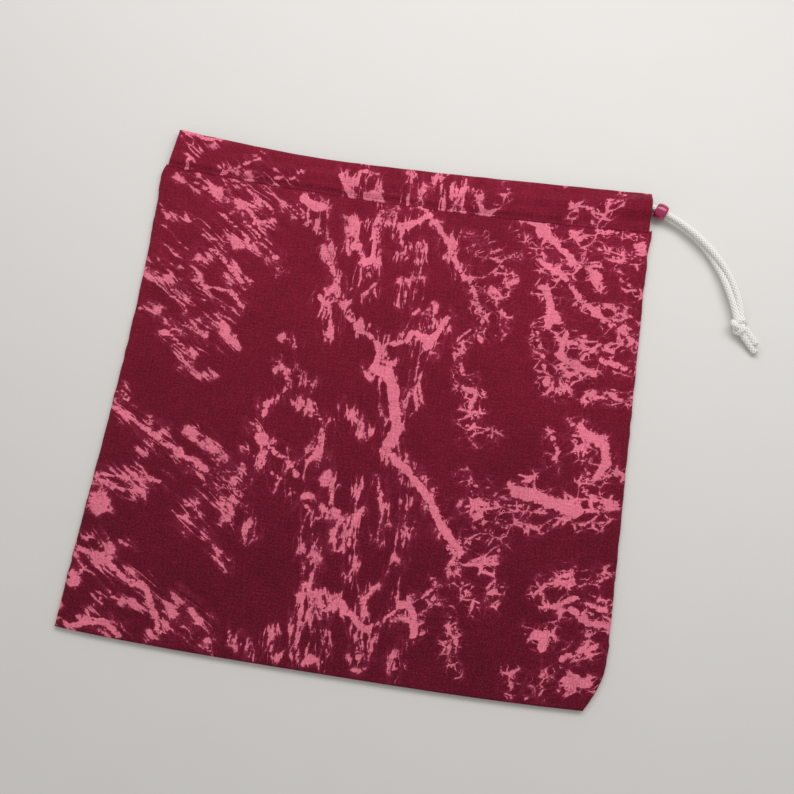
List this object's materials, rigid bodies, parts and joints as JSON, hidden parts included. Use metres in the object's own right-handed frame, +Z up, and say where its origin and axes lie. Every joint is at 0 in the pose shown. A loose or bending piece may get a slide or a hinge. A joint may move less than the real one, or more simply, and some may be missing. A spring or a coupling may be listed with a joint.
{
  "type": "drawstring bag",
  "caption": "Flat, empty drawstring bag of soft printed cotton. A casing sewn round the mouth holds a white cord, whose doubled tail runs through a sliding bead to a knot.",
  "frame": {"origin": "on the surface the bag lies on, under the middle of the cloth (cord and bead left out)", "axes": "+X along the mouth, towards the end where the cord comes out; +Y from the bottom seam to the mouth; +Z up, out of the front"},
  "size_m": [0.3524, 0.2902, 0.012],
  "materials": {
    "printed_cotton": "brushed cotton, dark crimson with a pink marbled print",
    "white_cord": "soft white braid",
    "bead_plastic": "glossy translucent raspberry plastic"
  },
  "bodies": {
    "bag": {"cloth_pouch": "printed_cotton", "casing_band": "printed_cotton", "drawcord": "white_cord", "end_knot": "white_cord"},
    "bead": {"cord_bead": "bead_plastic"}
  },
  "joints": [
    {"name": "bead_slide", "type": "hinge", "parent": "bag", "child": "bead", "pos_m": [0.11955, 0.06303, 0.005], "axis": [0, 0, -1], "range_deg": [0, 55]}
  ]
}
